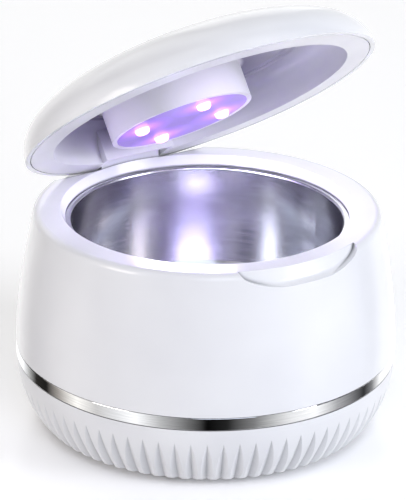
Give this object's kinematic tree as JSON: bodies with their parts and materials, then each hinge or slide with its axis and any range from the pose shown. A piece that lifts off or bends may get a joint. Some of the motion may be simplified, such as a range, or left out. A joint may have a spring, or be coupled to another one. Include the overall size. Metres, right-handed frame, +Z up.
{
  "type": "ultrasonic retainer cleaner",
  "caption": "Round ultrasonic cleaning pod for retainers: steel tank in a white housing with a fluted base, bright trim band and a domed hinged lid with violet lamps.",
  "frame": {"origin": "on the body's axis at the table, under the centre of the tank", "axes": "+Z up, -Y towards the front with the finger scoop, +Y towards the hinge, inlet and button; stored with the lid open"},
  "size_m": [0.132, 0.132, 0.1559],
  "materials": {
    "housing_white": "gloss",
    "base_white": "satin",
    "lid_white": "gloss",
    "liner_white": "satin",
    "cover_white": "satin",
    "chrome_trim": "polished",
    "tank_steel": "polished",
    "screw_steel": "plain",
    "pin_steel": "polished",
    "foot_rubber": "matte",
    "seal_silicone": "matte",
    "inner_plastic": "matte",
    "black_plastic": "matte",
    "circuit_board": "satin",
    "lamp_circuit": "satin",
    "piezo_ceramic": "silvered",
    "ferrite": "matte",
    "heat_sink_metal": "plain",
    "capacitor_sleeve": "satin",
    "copper_winding": "enamelled",
    "lead_sheath": "satin",
    "washer_nylon": "matte",
    "magnet_nickel": "plated",
    "button_white": "gloss",
    "uv_lamp": "clear epoxy"
  },
  "bodies": {
    "housing": {"upper_housing": "housing_white", "trim_band": "chrome_trim", "base_shell": "base_white", "rubber_feet": "foot_rubber", "base_screws": "screw_steel", "tank": "tank_steel", "tank_seal": "seal_silicone", "clamp_ring": "inner_plastic", "clamp_screws": "screw_steel", "piezo_disc": "piezo_ceramic", "driver_board": "circuit_board", "board_screws": "screw_steel", "transformer": "ferrite", "heat_sink": "heat_sink_metal", "power_transistor": "black_plastic", "capacitors": "capacitor_sleeve", "choke": "copper_winding", "lead_sockets": "inner_plastic", "dc_jack": "black_plastic", "piezo_leads": "lead_sheath", "jack_leads": "lead_sheath", "button_switch": "black_plastic", "button_board": "circuit_board", "button_screws": "screw_steel", "lid_sensor": "circuit_board", "hinge_block": "housing_white", "hinge_screws": "screw_steel", "hinge_pin": "pin_steel", "friction_washers": "washer_nylon"},
    "lid": {"lid_shell": "lid_white", "lid_liner": "liner_white", "lamp_cover": "cover_white", "lamp_board": "lamp_circuit", "uv_lamps": "uv_lamp", "liner_screws": "screw_steel", "lid_magnet": "magnet_nickel"},
    "button": {"power_button": "button_white", "switch_stem": "black_plastic"}
  },
  "joints": [
    {"name": "lid_hinge", "type": "hinge", "parent": "housing", "child": "lid", "pos_m": [0, 0.053, 0.088], "axis": [-1, 0, 0], "range_deg": [-37.5, 6.5]},
    {"name": "button_press", "type": "slide", "parent": "housing", "child": "button", "axis": [0, -1, 0], "range_m": [0, 0.0008], "stiffness_N_per_m": 1200, "springref_m": -0.0003}
  ]
}
